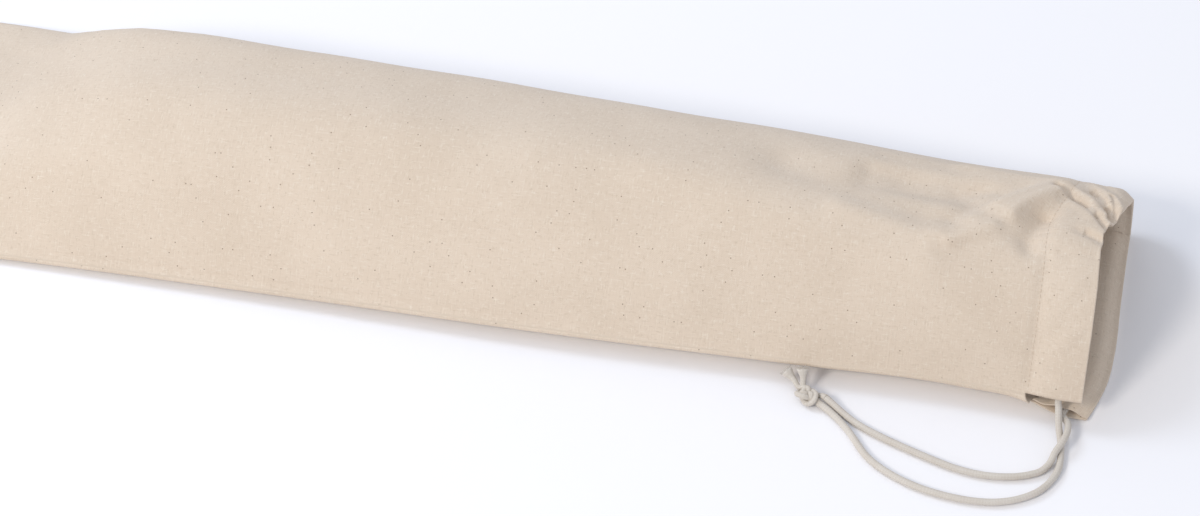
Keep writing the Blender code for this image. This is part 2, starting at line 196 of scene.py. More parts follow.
def carried_frame(line):
    """Unit vectors to the side and over, at each point of a line.

    The side vector is carried from point to point with the least turning: each one is the last
    one less its share of the new ahead, made a unit vector again.
    """
    ahead = unit(np.gradient(line, axis=0))
    start = np.cross(ahead[0], NEARLY_UP)
    side = np.empty_like(ahead)
    for k, forward in enumerate(ahead):
        start = unit(start - forward * np.dot(start, forward))
        side[k] = start
    return side, np.cross(side, ahead)


def tube(line, radii, sides, relief=None):
    """Points, faces and (u, v) of a tube: circles of each radius, at right angles to the line.

    relief(u, v) adds to the radius, where u is the angle round the tube and v the run along it.
    """
    side, over = carried_frame(line)
    angle = np.arange(sides) * 2 * math.pi / sides
    run = run_of(line)
    reach = np.tile(np.asarray(radii, float)[:, None], (1, sides))
    if relief is not None:
        reach += relief(angle[None, :], run[:, None])
    spokes = (side[:, None] * np.cos(angle)[None, :, None]
              + over[:, None] * np.sin(angle)[None, :, None])
    points, faces = closed_tubes((line[:, None] + reach[:, :, None] * spokes)[None])
    uv = np.stack(np.broadcast_arrays(angle[None, :] * CORD / 2, run[:, None]), axis=-1)
    return points, faces, uv.reshape(-1, 2)


# ---------------------------------------------------------------- shader maths
class Value:
    """A node's output, on which +, -, * and > add the Math node that does the sum."""

    def __init__(self, finish, socket):
        self.finish = finish
        self.socket = socket

    def other(self, output):
        """Another output of the same node."""
        return Value(self.finish, self.socket.node.outputs[output])

    def _sum(self, operation, first, second):
        """The output of a Math node for an operation on two numbers or Values."""
        return self.finish.node("ShaderNodeMath", {"operation": operation}, {0: first, 1: second})

    def __add__(self, other):
        return self._sum("ADD", self, other)

    def __sub__(self, other):
        return self._sum("SUBTRACT", self, other)

    def __rsub__(self, other):
        return self._sum("SUBTRACT", other, self)

    def __mul__(self, other):
        return self._sum("MULTIPLY", self, other)

    def __gt__(self, other):
        return self._sum("GREATER_THAN", self, other)


class Finish:
    """A material whose nodes feed one Principled shader."""

    def __init__(self, name, roughness, **constants):
        self.material = bpy.data.materials.new(name)
        self.material.use_nodes = True
        self.tree = self.material.node_tree
        self.shader = self.tree.nodes["Principled BSDF"]
        self.shader.inputs["Roughness"].default_value = roughness
        for socket, value in constants.items():
            self.shader.inputs[socket.replace("_", " ")].default_value = value

    def node(self, kind, settings, inputs, output=0):
        """Add a node of a kind, set its settings, then fill its sockets, and give one output."""
        node = self.tree.nodes.new(kind)
        for name, value in settings.items():
            setattr(node, name, value)
        for key, value in inputs.items():
            self.feed(node.inputs[key], value)
        return Value(self, node.outputs[output])

    def feed(self, socket, value):
        """Link a Value to a socket, or set the socket to a number, colour or vector."""
        if isinstance(value, Value):
            self.tree.links.new(value.socket, socket)
        else:
            socket.default_value = value

    def mix(self, share, first, second):
        """The first colour, turning into the second as share goes from 0 to 1.

        The Mix node's colours are its sockets 6 and 7, and the mixed colour is its output 2.
        """
        return self.node("ShaderNodeMix", {"data_type": "RGBA", "clamp_factor": True},
                         {0: share, 6: first, 7: second}, output=2)

    def noise(self, where, across, along, detail=2.0):
        """Soft noise from 0 to 1, in patches of a size (metres) across and along the surface."""
        scaled = self.node("ShaderNodeVectorMath", {"operation": "MULTIPLY"},
                           {0: where, 1: (1 / across, 1 / along, 1)})
        return self.node("ShaderNodeTexNoise", {"noise_dimensions": "2D"},
                         {"Vector": scaled, "Scale": 1.0, "Detail": detail})

    def band(self, value, start, end):
        """0 below start, 1 above end, and a soft S between."""
        return self.node("ShaderNodeMapRange", {"interpolation_type": "SMOOTHSTEP"},
                         {"Value": value, "From Min": start, "From Max": end})

    def sine(self, value):
        """Sine of a value."""
        return self.node("ShaderNodeMath", {"operation": "SINE"}, {0: value})

    def streaks(self, where, width, length, start, end):
        """Peaks of noise that is stretched one way, and of noise stretched the other way."""
        return (self.band(self.noise(where, width, length, 1.0), start, end)
                + self.band(self.noise(where, length, width, 1.0), start, end))

    def flecks(self, where, cell, radius, share):
        """Round flecks of a radius in a share of the cells of an uneven net, 1 inside a fleck."""
        net = self.node("ShaderNodeTexVoronoi", {"voronoi_dimensions": "2D"},
                        {"Vector": where, "Scale": 1 / cell})
        chance = self.node("ShaderNodeSeparateColor", {}, {0: net.other("Color")})
        return (1 - self.band(net, 0.5 * radius / cell, radius / cell)) * (chance > 1 - share)

    def bump(self, height, strength, distance):
        """Raise the surface by a height from 0 to 1 over a distance in metres."""
        normal = self.node("ShaderNodeBump", {},
                           {"Height": height, "Strength": strength, "Distance": distance})
        self.feed(self.shader.inputs["Normal"], normal)


# ---------------------------------------------------------------- materials
YARN = 0.00045            # middle of one yarn to the middle of the next
YARN_SWAY = 2.2           # how far the yarns wander, in radians of the weave's sines
CLOTH_LIGHT = (0.681, 0.570, 0.458, 1)
CLOTH_DARK = (0.634, 0.525, 0.416, 1)
SLUB_LIGHT = (0.740, 0.650, 0.540, 1)
SLUB_DARK = (0.515, 0.415, 0.312, 1)
SEED_BROWN = (0.150, 0.092, 0.052, 1)
CORD_LIGHT = (0.650, 0.605, 0.545, 1)
CORD_DARK = (0.560, 0.505, 0.440, 1)
THREAD_COLOUR = (0.740, 0.640, 0.520, 1)
FLOOR_COLOUR = (0.90, 0.89, 0.905, 1)


def cloth_finish():
    """Unbleached plain weave: crossing yarns, thick places in both directions, seed flecks.

    (u, v) are metres round and along the bag.  The weave's height is the product of a sine of u
    and one of v, half a wave to each yarn.  A thick or dark place is noise stretched along a
    yarn, of which only the peaks are kept.
    """
    cloth = Finish("unbleached linen", roughness=0.93, Specular_IOR_Level=0.22,
                   Sheen_Weight=0.10, Sheen_Roughness=0.6)
    uv = cloth.node("ShaderNodeUVMap", {"uv_map": "cloth"}, {})
    u = cloth.node("ShaderNodeSeparateXYZ", {}, {0: uv})
    v = u.other(1)
    turn = math.pi / YARN
    sway = cloth.noise(uv, 0.02, 0.02) * YARN_SWAY
    weave = cloth.sine(u * turn + sway) * cloth.sine(v * turn + sway) * 0.5 + 0.5

    yarns = (cloth.noise(uv, 0.0008, 0.0075) + cloth.noise(uv, 0.0075, 0.0008)) * 0.5
    patches = cloth.noise(uv, 0.05, 0.05, detail=4.0)
    slubs = cloth.streaks(uv, width=0.0008, length=0.0042, start=0.63, end=0.73)
    thin = cloth.streaks(uv, width=0.0010, length=0.0036, start=0.65, end=0.75)
    seeds = cloth.flecks(uv, cell=0.0058, radius=0.00042, share=0.13)
    dust = cloth.flecks(uv, cell=0.0026, radius=0.00032, share=0.16)

    tone = cloth.band(yarns * 0.5 + patches * 0.5, 0.34, 0.66)
    colour = cloth.mix(tone, CLOTH_DARK, CLOTH_LIGHT)
    colour = cloth.mix(slubs * 0.45, colour, SLUB_LIGHT)
    colour = cloth.mix(thin * 0.30, colour, SLUB_DARK)
    colour = cloth.mix(dust * 0.50, colour, SLUB_DARK)
    colour = cloth.mix(seeds * 0.75, colour, SEED_BROWN)
    cloth.feed(cloth.shader.inputs["Base Color"], colour)
    cloth.bump(weave * 0.45 + yarns * 0.3 + slubs * 0.25, strength=0.5, distance=0.00022)
    return cloth.material


def cord_finish():
    """Soft cotton braid: two sets of strands that wind opposite ways round the cord.

    Its height is sin(4a + r) times sin(4a - r), for the angle a round the cord and the run r
    along it in turns of the braid.
    """
    cord = Finish("cotton cord", roughness=0.9, Specular_IOR_Level=0.25,
                  Sheen_Weight=0.15, Sheen_Roughness=0.5)
    uv = cord.node("ShaderNodeUVMap", {"uv_map": "cloth"}, {})
    u = cord.node("ShaderNodeSeparateXYZ", {}, {0: uv})
    around = u * (BRAID_STRANDS * 2 / CORD)
    along = u.other(1) * (2 * math.pi / BRAID_PITCH)
    strands = cord.sine(around + along) * cord.sine(around - along) * 0.5 + 0.5
    fuzz = cord.noise(uv, 0.0004, 0.0006, detail=3.0)
    patches = cord.noise(uv, 0.011, 0.011)
    # The strands' height sets a small part of the tone: this is painted shade, lighter on the
    # strands' crowns and darker in the grooves between them. The fuzz and the patches are the cord's
    # own uneven tone.
    tone = cord.band(strands * 0.15 + fuzz * 0.5 + patches * 0.35, 0.3, 0.7)
    cord.feed(cord.shader.inputs["Base Color"], cord.mix(tone, CORD_DARK, CORD_LIGHT))
    cord.bump(strands * 0.5 + fuzz * 0.5, strength=0.45, distance=0.0002)
    return cord.material


def thread_finish():
    """Sewing thread: matt, with soft patches of tone along it."""
    thread = Finish("sewing thread", roughness=0.85, Specular_IOR_Level=0.3)
    where = thread.node("ShaderNodeTexCoord", {}, {}, output="Object")
    tone = thread.noise(where, 0.004, 0.004)
    thread.feed(thread.shader.inputs["Base Color"], thread.mix(tone, CLOTH_DARK, THREAD_COLOUR))
    return thread.material


def floor_finish():
    """Plain pale floor, all one colour."""
    floor = Finish("pale floor", roughness=0.9, Specular_IOR_Level=0.1)
    floor.feed(floor.shader.inputs["Base Color"], FLOOR_COLOUR)
    return floor.material


# ---------------------------------------------------------------- cords
# Routes of the two free cords from the hem to the knot, in millimetres, measured from the
# middle of the bag's length and the line that its sections are measured from.
ROUTE_FRONT = (
    (318.8, -74.4, 10.2), (319.6, -78.6, 7.4), (320.7, -83.4, 4.5), (322.4, -88.8, 2.0),
    (323.8, -97.8, 1.8), (323.8, -106.8, 1.8), (321.4, -114.4, 1.8), (317.2, -121.2, 1.8),
    (309.2, -127.8, 1.8), (298.5, -132.4, 1.8), (285.1, -134.2, 1.8), (274.3, -133.7, 1.8),
    (264.3, -132.2, 1.8), (255.0, -129.7, 1.8), (245.9, -126.0, 1.8), (238.0, -121.6, 1.8),
    (231.4, -116.4, 1.8), (226.6, -110.8, 1.8), (222.6, -105.4, 1.8), (217.4, -99.5, 1.8),
    (212.0, -94.5, 1.9), (207.0, -90.8, 2.1), (203.2, -88.6, 2.4)
)
ROUTE_BACK = (
    (324.4, -79.4, 4.9), (325.0, -85.0, 5.6), (323.6, -92.2, 5.6), (321.0, -98.4, 4.3),
    (319.2, -104.2, 2.3), (316.2, -108.9, 1.8), (310.0, -112.9, 1.8), (299.0, -116.3, 1.8),
    (288.5, -117.2, 1.8), (276.0, -115.9, 1.8), (264.8, -113.0, 1.8), (255.5, -110.0, 1.8),
    (245.7, -106.7, 1.8), (236.3, -103.2, 1.8), (228.6, -99.9, 1.8), (222.0, -96.4, 1.8),
    (216.2, -92.5, 2.1), (211.0, -88.8, 2.8), (206.4, -86.0, 4.1)
)
STRAIGHT_RUN = 0.0022     # of each cord as it leaves the tunnel
CORD_STEP = 0.0006        # between two rings of a cord's surface
CORD_SIDES = 18
BRAID_STRANDS = 4         # each way round the cord
BRAID_PITCH = 0.0030      # run of one turn of the braid's strands
BRAID_RELIEF = 0.00003    # height of a strand


def braid(angle, run):
    """Height of the braid's crossing strands: sin(4a + r) times sin(4a - r)."""
    turn = 2 * math.pi * run / BRAID_PITCH
    angle = BRAID_STRANDS * angle
    return BRAID_RELIEF * np.sin(angle + turn) * np.sin(angle - turn)


def tail_line(exit_point, before, route):
    """A free cord's line: straight out of the tunnel, then on the smooth curve of its route."""
    outward = unit(exit_point - before)
    leaving = [exit_point + outward * GAP, exit_point + outward * STRAIGHT_RUN]
    return even_line(np.concatenate([leaving, np.array(route) * MM - ORIGIN]), CORD_STEP)


def add_cord(name, line, finish, node):
    """A braided cord along a line, which takes the place of its CAD solid."""
    points, faces, uv = tube(line, np.full(len(line), CORD / 2), CORD_SIDES, relief=braid)
    piece = add_mesh(name, points, faces, finish, uv)
    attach(piece, "root")
    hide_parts(node)
    return piece


# ---------------------------------------------------------------- knot
KNOT_CENTRE = (197.4, -85.4, 3.9)     # millimetres, measured as the routes are
KNOT_SIZE = 1.42          # millimetres for each unit of the knot's curve
KNOT_LIFT = 1.35          # height of its curve, in the same units
KNOT_TURN = math.radians(-24)         # of the line from its frayed ends to the cords
KNOT_OPENING = math.radians(38)       # of the curve on each side of where it is cut open
STRAND = 0.0027           # diameter of one cord pulled tight
STRAND_APART = 0.00215    # middles of the two cords side by side
KNOT_STEPS = 40           # points worked out on the knot's curve
KNOT_STRIDE = 3           # of them, every third leads the strand
KNOT_LEAD = slice(-9, None, 4)        # points of a cord that lead its strand in
TIGHTENS = 0.004          # run over which a strand gets tight, from its cord
LOOSENS = (0.003, 0.007)  # from its frayed end to where it is loose, and to where it is tight
FRAY_RUN = 0.0045         # length of the widened end
# Where each frayed end leaves the knot, bends, and stops, in millimetres
FRAYED = {"front": ((192.6, -82.4, 4.6), (189.6, -79.8, 6.4), (185.2, -76.6, 8.6)),
          "back": ((194.8, -82.2, 5.4), (194.0, -79.8, 8.6), (193.1, -76.8, 12.6))}
FRAY_WIDENS = 1.75        # an end's mouth, in cord radii
FIBRES = 110              # in each end
FIBRE = 0.00011           # radius of a fibre
FIBRE_LENGTH = (0.0012, 0.0027)       # shortest and longest
FIBRE_SPREAD = 0.94       # radius that the fibres fill, as a share of the end's
FIBRE_SUNK = 0.0006       # how far inside the end they start
FIBRE_LEAN = 0.5          # of the outermost ones
FIBRE_STRAY = (-0.15, 0.25)           # least and most that is added to the lean
FIBRE_SAG = 0.0005        # of their tips
FIBRE_TAPER = 0.7         # share of its radius that a fibre loses by its tip
FIBRE_UP = (0.3, 0.1, 1.0)            # a direction that neither end points in
FIBRE_RINGS, FIBRE_SIDES = 4, 3
FIBRE_SEED = 7


def knot_line(side, cord_line, frayed):
    """One strand that goes on from a cord, through an overhand knot, to its frayed end.

    The knot is a trefoil cut open at one lobe: x = sin t + 2 sin 2t, y = -(cos t - 2 cos 2t),
    z = sin 3t, turned in the plane.  The strand lies half the strands' spacing to one side of it,
    and its curve is led in by the cord's last points, so that it goes on from the cord smoothly.
    """
    t = np.linspace(math.pi + KNOT_OPENING, 3 * math.pi - KNOT_OPENING, KNOT_STEPS)
    x = np.sin(t) + 2 * np.sin(2 * t)
    y = 2 * np.cos(2 * t) - np.cos(t)
    z = KNOT_LIFT * np.sin(3 * t)
    cos, sin = math.cos(KNOT_TURN), math.sin(KNOT_TURN)
    middle = np.stack([x * cos - y * sin, x * sin + y * cos, z], axis=1) * KNOT_SIZE * MM
    ahead = unit(np.gradient(middle, axis=0))
    beside = unit(np.cross(ahead, (0, 0, 1.0)))
    middle = middle + beside * side * STRAND_APART / 2 + np.array(KNOT_CENTRE) * MM - ORIGIN
    ends = np.array(frayed) * MM - ORIGIN
    line = even_line(np.concatenate([cord_line[KNOT_LEAD], middle[::KNOT_STRIDE], ends]), CORD_STEP)
    started = int(np.argmin(np.linalg.norm(line - cord_line[-1], axis=1)))
    return line[started:]


def fibres(end, ahead, rng):
    """Loose fibres that fan out of a cord's end.

    Each is a thin three-sided spike from a point of the end's disc, leaning outwards as far as
    that point is from the middle, and curving down a little.
    """
    side = unit(np.cross(ahead, FIBRE_UP))
    over = np.cross(side, ahead)
    spread = np.sqrt(rng.uniform(0, 1, FIBRES))
    angle = rng.uniform(0, 2 * math.pi, FIBRES)
    radial = side * np.cos(angle)[:, None] + over * np.sin(angle)[:, None]
    out = spread * CORD / 2 * FRAY_WIDENS * FIBRE_SPREAD
    root = end + radial * out[:, None] - ahead * FIBRE_SUNK
    lean = FIBRE_LEAN * spread + rng.uniform(*FIBRE_STRAY, FIBRES)
    lean = unit(ahead + radial * lean[:, None])
    length = rng.uniform(*FIBRE_LENGTH, FIBRES)
    t = np.linspace(0, 1, FIBRE_RINGS)
    line = root[:, None] + lean[:, None] * (t[None, :] * length[:, None])[:, :, None]
    line[:, :, 2] -= FIBRE_SAG * t[None, :]**2
    corner = np.arange(FIBRE_SIDES) * 2 * math.pi / FIBRE_SIDES
    ring = side * np.cos(corner)[:, None] + over * np.sin(corner)[:, None]
    thin = FIBRE * (1 - FIBRE_TAPER * t)
    points, faces = closed_tubes(line[:, :, None] + thin[None, :, None, None] * ring[None, None])
    uv = np.zeros((len(points), 2))
    uv[:, 1] = np.repeat(length, FIBRE_RINGS * FIBRE_SIDES)
    return points, faces, uv


def add_knot(cord_lines, finish):
    """The tied knot: both strands, each ending in a widened, frayed mouth."""
    rng = np.random.default_rng(FIBRE_SEED)
    parts = []
    for name, side, cord_line in (("front", -1, cord_lines[0]), ("back", 1, cord_lines[1])):
        line = knot_line(side, cord_line, FRAYED[name])
        run = run_of(line)
        left = run[-1] - run
        tight = (STRAND - CORD) / 2 * ramp(run, 0, TIGHTENS) * ramp(left, *LOOSENS)
        radii = (CORD / 2 + tight) * (1 + (FRAY_WIDENS - 1) * ramp(left, FRAY_RUN, 0))
        parts.append(tube(line, radii, CORD_SIDES, relief=braid))
        parts.append(fibres(line[-1], unit(line[-1] - line[-3]), rng))
    points, faces, uv = join(parts)
    piece = add_mesh("tied_knot", points, faces, finish, uv)
    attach(piece, "root")
    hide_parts("knot")
    return piece


# ---------------------------------------------------------------- cloth
# Rows and columns of the cloth's grid: (distance in millimetres, faces up to the next entry)
ROW_STEPS = ((0, 4), (16, 42), (470, 62), (614, 26), (632, 60), (660, 0))
COLUMN_STEPS = ((0, 8), (10, 20), (60, 40), (96, 84), (138, 30), (206, 18), (332, 0))
SEAM_STEPS = 6            # faces round the turned edge at the near seam
SEAM_FACE = 0.0008        # width of each of them in the cloth's pattern
TURN_STEPS = 8            # faces round the fold at the mouth
END_STEPS = 4             # faces round the closed end
END_REACH = 0.0012        # how far the closed end rounds out
INNER_STRIDE = 2          # rows of the outer layer for each row of the hem's inner one
SECTION_SAMPLES = 900     # points along each cross-section's curve

# The bag's cross-sections, in millimetres: at, from the closed end; then across (y) and up (z).
# near: the sewn edge; rise, brow, crown, slope and far: over the top; fold: the folded edge;
# the two feet: where the cloth leaves the floor; gap and lean: half the parting of the sewn edge,
# upwards and across.
SECTION_COLUMNS = ("at", "near_y", "near_z", "gap", "lean", "rise_y", "rise_z",
                   "brow_y", "brow_z", "crown_y", "crown_z", "slope_y", "slope_z", "far_y", "far_z",
                   "fold_y", "fold_z", "far_foot_y", "near_foot_y")
SECTIONS = np.array([
    (0,   -81.0, 2.0, 1.5, 0, -52, 4.0, -28, 4.4, 0, 4.6, 30, 4.4, 58, 4.0, 81.5, 2.2, 78, -77),
    (50,  -78.5, 2.4, 1.5, 0, -53, 10, -29, 14, -1, 15, 29, 13, 57, 9.4, 80.5, 4.0, 76, -75),
    (90,  -76.5, 2.8, 1.5, 0, -53, 18, -30, 25, -3, 27, 27, 23, 56.5, 14.5, 78.5, 6.5, 74, -73),
    (125, -75.5, 3.4, 1.5, 0, -54, 24, -31, 38, -5, 43, 25, 40, 56, 30, 74.0, 14, 66, -69),
    (160, -75.0, 4.2, 1.5, 0, -55, 28, -31, 47, -7, 54, 23, 52, 55.5, 41, 69.0, 20, 59, -65),
    (250, -74.5, 6.0, 1.5, 0, -56, 31, -31, 53, -8, 62.5, 22.5, 59, 55, 44.5, 67.0, 22, 55, -60),
    (400, -74.5, 9.0, 1.5, 0, -56, 34, -30, 57, -8, 66, 22, 61.5, 51.5, 44.5, 64.5, 23, 53, -58),
    (520, -71.5, 10.5, 1.5, 0, -56, 35, -32, 59, -10, 67.5, 20, 62, 49, 43.5, 63.0, 24, 52, -57),
    (600, -70.5, 12.0, 1.6, 0, -57, 36, -34, 59, -12, 67, 18, 61, 46.5, 40.5, 60.5, 24, 52, -59),
    (630, -71.5, 11.0, 2.6, 0.2, -58, 36, -36, 58.5, -14, 66.5, 16, 61, 45.5, 41, 60.0, 25, 52, -62),
    (646, -73.0, 8.2, 6.6, 0.9, -60, 36, -38, 58, -16, 66.5, 15, 61, 45, 40.5, 59.3, 24.5, 53, -65),
    (655, -73.4, 8.0, 7.3, 1.1, -61, 36, -39, 58, -17, 66.5, 14.5, 60.5, 45, 39.5, 58.8, 24, 53, -66),
    (660, -73.4, 8.0, 7.3, 1.1, -61, 36, -39, 58, -17, 66.5, 13, 59, 41.5, 36.5, 56.5, 22, 53, -66),
])
SECTION_KNOTS = (0, 32, 65, 89, 121, 155, 178, 203, 260, 318, 332)
TOP_POINTS = ("rise", "brow", "crown", "slope", "far", "fold")

# How far the mouth's edge reaches beyond its length at each distance round the bag, in millimetres
REACH_ROUND = (0, 60, 86, 98, 106, 118, 140, 165, 204, 250, 285, 306, 320, 332)
REACH = (0, -0.5, -2, -1.5, 1, 4.5, 6.5, 7.5, 7.5, 9, 10.5, 9.5, 6.5, 3)
REACH_START = 0.54        # where this starts to grow along the bag, in metres

# Folds: a soft ridge (height above 0) or trough (below 0) along a straight line from
# (at, round) to (end at, end round), with its width and height, all in millimetres.
FOLDS = np.array([
    (633, 6, 633, 112, 3.4, -0.9),        # the stitches draw the hem in
    (633, 118, 633, 196, 3.4, -0.5),
    (647, 8, 648, 78, 9, 0.9),            # the hem swells over its cord
    (94, 60, 102, 132, 13, -3.0),         # hollow past the end of what fills the bag
    (108, 152, 112, 166, 9, -1.4),
    (138, 148, 156, 152, 13, 1.8),
    (430, 86, 574, 60, 12, 2.2),          # crest between the front and the far slope
    (500, 106, 568, 88, 15, -4.6),        # the far slope is hollow behind it
    (560, 112, 584, 104, 12, -2.6),
    (584, 112, 610, 121, 6, -2.0),        # valley that starts the star
    (582, 74, 594, 85, 6, 2.2),           # the ridge beside it
    (606, 99, 626, 127, 7, 3.2),
    (584, 136, 624, 134, 7, 2.2),
    (622, 80, 629, 100, 6, -3.0),         # hollow in front of the hem
    (615, 80, 623, 97, 7, -1.2),
    (640, 129, 658, 110, 3.6, -1.6),      # groove across the hem
    (648, 90, 659, 86, 3.0, -1.0),
    (638, 29, 652, 41, 4.0, -0.6),
])
# Further folds of the same kind, in the visible cloth alone
CREASES = np.array([
    (20, 3.2, 400, 3.2, 1.2, -0.35),      # beside the seam's turned edge
    (20, 214, 620, 214, 5.0, 0.25),       # the pressed fold of the far edge
    (604, 60, 626, 66, 5.0, -0.35),
    (610, 40, 630, 44, 4.0, -0.30),
    (606, 20, 629, 17, 4.5, -0.28),
    (640, 58, 655, 52, 3.0, -0.35),
    (641, 74, 657, 76, 2.6, -0.40),
    (638, 12, 654, 14, 3.0, -0.30),
    (300, 40, 420, 30, 22, -0.5),
    (180, 96, 300, 88, 20, 0.5),
    (420, 110, 520, 132, 16, -0.6),
    (60, 100, 90, 84, 9, 0.6),
    (40, 40, 84, 52, 10, -0.5),
    (540, 118, 592, 117, 6.5, -2.6),      # the hollow's far side
    (540, 109, 588, 106, 9.5, -4.2),
    (545, 130, 580, 129, 7, -1.2),
    (530, 80, 574, 72, 7, 2.6),           # the edge that it falls from
    (586, 84, 604, 112, 6.5, -3.4),       # valley along the star's lit side
    (586, 70, 606, 82, 4.0, 2.4),         # crest of the same side
    (614, 92, 628, 117, 4.6, 3.4),
    (625, 74, 630, 97, 5.0, -2.8),        # hollow beside the stitches
    (646, 44, 657, 60, 3.0, -0.35),
    (636, 64, 646, 70, 2.4, -0.40),
    (650, 24, 658, 36, 2.6, -0.35),
])
# Pleats of the gathered hem, and the grooves that part them, on its outer layer.  The inner
# layer gives way only where a groove is deeper than the room between the two.
PLEATS = np.array([
    (631, 130, 655, 109, 3.2, 2.2),
    (640, 146, 657, 120, 3.4, 2.0),
    (648, 150, 658, 134, 3.6, 1.6),
    (636, 113, 650, 103, 3.0, 0.8),
    (626.5, 124.3, 633, 121, 2.0, -2.3),
    (635.5, 119.2, 642.5, 113.4, 1.9, -3.2),
    (644.5, 111.8, 650.5, 106.8, 1.6, -1.3),
    (652.5, 105.2, 660, 99, 2.0, -3.0),
    (652, 113, 660, 109, 5.0, -1.8),
    (642, 134, 645.5, 129, 1.3, -2.2),
    (647, 126.8, 650.5, 120.6, 1.3, -1.2),
    (652.3, 117.5, 658, 108.5, 1.3, -2.4),
    (652, 128, 659, 112, 1.2, -1.8),
    (652, 90, 660, 88, 2.2, -1.8),
])
GROOVE_OVER_CORD = 0.0002   # deepest groove where the cord fills the hem
GROOVE_BESIDE_CORD = 0.004  # how much deeper one may be past the cord
GROOVE_RUN = 0.003          # from the cord's side to where it may
GROOVE_SOFTNESS = 0.00015   # length that rounds off where a groove is cut short
LAYER_GAP = 0.0002          # between the hem's layers under a groove
PUCKER_PITCH = 0.0078       # between two of the small gathers along the hem's stitches
PUCKER_REACH = 0.0065       # how far they run from the stitches
PUCKER_HEIGHT = 0.00015     # of the gathers
RIPPLE_HEIGHT = 0.00030     # of the slack all over the cloth
SLACK_STARTS = (0.006, 0.020)         # round the bag: none before the first, full from the second
SLACK_ENDS = (0.190, 0.215)           # full up to the first, none from the second
# What makes the gathers uneven: radians that a wave shifts them, and its radians a metre
PUCKER_SHIFTS = ((1.3, 61), (0.9, 143))
# Ripples, each the product of two waves: its share of the height; the first wave's radians a
# metre along and round the bag, and its start; the second's radians a metre round, and its start
RIPPLES = ((1.0, 47, 5, 0, 58, 1),
           (0.7, 83, -21, 2, 97, 0),
           (0.5, 29, 34, 4, 0, math.pi / 2))


def section(at, shares):
    """Points (y, z) of the cross-section at a distance from the closed end.

    The curve goes through the table's points, is kept above the floor and is read at shares of
    its own length, because cloth does not stretch round the bag.
    """
    row = smooth(SECTIONS[:, 0], SECTIONS, [at / MM])[0]
    val = dict(zip(SECTION_COLUMNS, row))
    top = [(val[name + "_y"], val[name + "_z"]) for name in TOP_POINTS]
    middle = (val["far_foot_y"] + val["near_foot_y"]) / 2
    floor = [(val["far_foot_y"], 0), (middle, 0), (val["near_foot_y"], 0)]
    points = [(val["near_y"] - val["lean"], val["near_z"] + val["gap"])] + top + floor
    points += [(val["near_y"] + val["lean"], val["near_z"] - val["gap"])]
    line = smooth(SECTION_KNOTS, points, np.linspace(0, SECTION_KNOTS[-1], SECTION_SAMPLES)) * MM
    line[:, 1] = np.maximum(line[:, 1], 0)
    share = run_of(line) / run_of(line)[-1]
    return np.stack([np.interp(shares, share, line[:, k]) for k in (0, 1)], axis=1)


def normals(grid):
    """Unit normals of a grid of points, pointing out of the bag."""
    return unit(np.cross(np.gradient(grid, axis=0), np.gradient(grid, axis=1)))


def fold_height(table, at, around):
    """Height of the folds in a table over the grid: a bell of each fold's width across its line."""
    at, around = at / MM, around / MM
    height = np.zeros(np.broadcast(at, around).shape)
    for fold_at, fold_round, end_at, end_round, width, tall in table:
        reach, swing = end_at - fold_at, end_round - fold_round
        along = (at - fold_at) * reach + (around - fold_round) * swing
        t = np.clip(along / np.hypot(reach, swing)**2, 0, 1)
        away = np.hypot(at - fold_at - t * reach, around - fold_round - t * swing)
        height += tall * np.exp(-(away / width)**2)
    return height * MM


def pleat_height(at, around):
    """Height of the pleats, whose grooves the cord inside the hem keeps shallow where it lies.

    It is the soft larger one of the pleats' own height and the least that the cord allows:
    (a + b + the root of ((a - b) squared + a small length squared)) / 2.
    """
    away = abs(at - (LENGTH - CORD_FROM_MOUTH))
    least = -GROOVE_OVER_CORD - GROOVE_BESIDE_CORD * ramp(away, CORD / 2, CORD / 2 + GROOVE_RUN)
    height = fold_height(PLEATS, at, around)
    return (height + least + np.sqrt((height - least)**2 + GROOVE_SOFTNESS**2)) / 2


def slack_height(at, around):
    """Height of what keeps the cloth from being smooth: gathers at the stitches and wide ripples.

    The gathers are a sine round the bag times a bell about the stitches.  The ripples are a sum
    of products of slow sines.  Both fade out beside the near seam and towards the underside.
    """
    phase = sum(shift * np.sin(around * turn) for shift, turn in PUCKER_SHIFTS)
    bell = np.exp(-((at - (LENGTH - HEM)) / PUCKER_REACH)**2)
    gathers = PUCKER_HEIGHT * np.sin(2 * math.pi * around / PUCKER_PITCH + phase) * bell
    ripples = sum(share * np.sin(at * along + around * across + start)
                  * np.sin(around * second_across + second_start)
                  for share, along, across, start, second_across, second_start in RIPPLES)
    upper = ramp(around, *SLACK_STARTS) * (1 - ramp(around, *SLACK_ENDS))
    return (gathers + RIPPLE_HEIGHT * ripples) * upper


